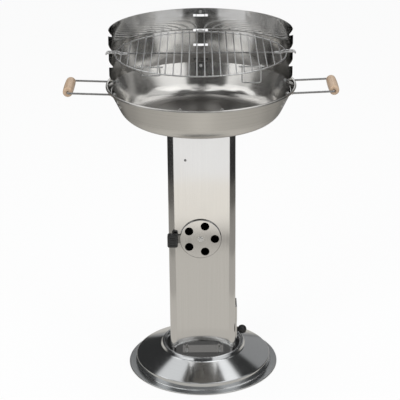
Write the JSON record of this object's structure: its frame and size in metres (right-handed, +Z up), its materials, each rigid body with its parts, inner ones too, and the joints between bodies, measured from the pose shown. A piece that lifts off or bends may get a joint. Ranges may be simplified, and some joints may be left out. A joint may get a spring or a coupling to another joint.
{
  "type": "column charcoal grill",
  "caption": "Charcoal grill on a chimney column with a dished foot: fire bowl with wooden side grips, notched windshield, height-set wire grate, air rosette and ash door.",
  "frame": {"origin": "middle of the ring on which the foot stands, on the floor", "axes": "+Z up; -Y towards the cook, the side of the air rosette; +X to the ash door's side"},
  "size_m": [0.6904, 0.48, 0.92],
  "materials": {
    "stainless_column": "polished",
    "stainless_bowl": "satin",
    "stainless_foot": "polished",
    "stainless_shield": "brushed",
    "fastener_zinc": "satin",
    "dark_rivet": "satin",
    "wire_chrome": "polished",
    "charcoal_plate": "satin",
    "beech": "lacquered",
    "knob_black": "satin"
  },
  "bodies": {
    "stand": {"base_dish": "stainless_foot", "bowl_bolts": "fastener_zinc", "bowl_nuts": "fastener_zinc", "bowl_washers": "fastener_zinc", "column_back": "stainless_column", "column_front_rivet": "dark_rivet", "column_rivets": "fastener_zinc", "column_shell": "stainless_column", "door_hinge_leaf": "fastener_zinc", "door_hinge_pin": "fastener_zinc", "door_hinge_rivets": "fastener_zinc", "fire_bowl": "stainless_bowl", "foot_bolts": "fastener_zinc", "foot_nuts": "fastener_zinc", "foot_washers": "fastener_zinc", "handle_grip_left": "beech", "handle_grip_right": "beech", "handle_nuts": "fastener_zinc", "handle_wire_left": "wire_chrome", "handle_wire_right": "wire_chrome", "strap_rivets": "fastener_zinc", "vent_pivot": "fastener_zinc", "vent_washer": "fastener_zinc", "windshield": "stainless_shield", "windshield_bolts": "fastener_zinc", "windshield_nuts": "fastener_zinc", "windshield_strap": "stainless_shield"},
    "air_rosette": {"vent_disc": "stainless_column", "vent_knob": "knob_black", "vent_knob_screw": "fastener_zinc"},
    "ash_door": {"ash_door": "stainless_column", "door_knob": "knob_black", "door_knob_screw": "fastener_zinc"},
    "cooking_grate": {"grate_ring": "wire_chrome", "grate_bars": "wire_chrome", "grate_cross_wire": "wire_chrome", "grate_hook_left": "wire_chrome", "grate_hook_right": "wire_chrome", "grate_hook_rear": "wire_chrome", "bail_hinge_bars": "wire_chrome"},
    "bail_left": {"bail_left": "wire_chrome"},
    "bail_right": {"bail_right": "wire_chrome"},
    "charcoal_plate": {"charcoal_plate": "charcoal_plate"}
  },
  "joints": [
    {"name": "rosette_turn", "type": "hinge", "parent": "stand", "child": "air_rosette", "pos_m": [-0.004, -0.045, 0.3755], "axis": [0, -1, 0], "range_deg": [-36, 36]},
    {"name": "door_swing", "type": "hinge", "parent": "stand", "child": "ash_door", "pos_m": [0.0902, 0.031, 0.122], "axis": [0, 0, 1], "range_deg": [0, 110]},
    {"name": "grate_draw", "type": "slide", "parent": "stand", "child": "cooking_grate", "axis": [0, -0.9613, 0.2756], "range_m": [0, 0.48]},
    {"name": "bail_left_swing", "type": "hinge", "parent": "cooking_grate", "child": "bail_left", "pos_m": [-0.1222, -0.129, 0.85931], "axis": [1, 0, 0], "range_deg": [-84, 40]},
    {"name": "bail_right_swing", "type": "hinge", "parent": "cooking_grate", "child": "bail_right", "pos_m": [0.1222, -0.129, 0.85931], "axis": [1, 0, 0], "range_deg": [-40, 84]},
    {"name": "plate_lift", "type": "slide", "parent": "stand", "child": "charcoal_plate", "axis": [0, 0, 1], "range_m": [0, 0.11]}
  ]
}
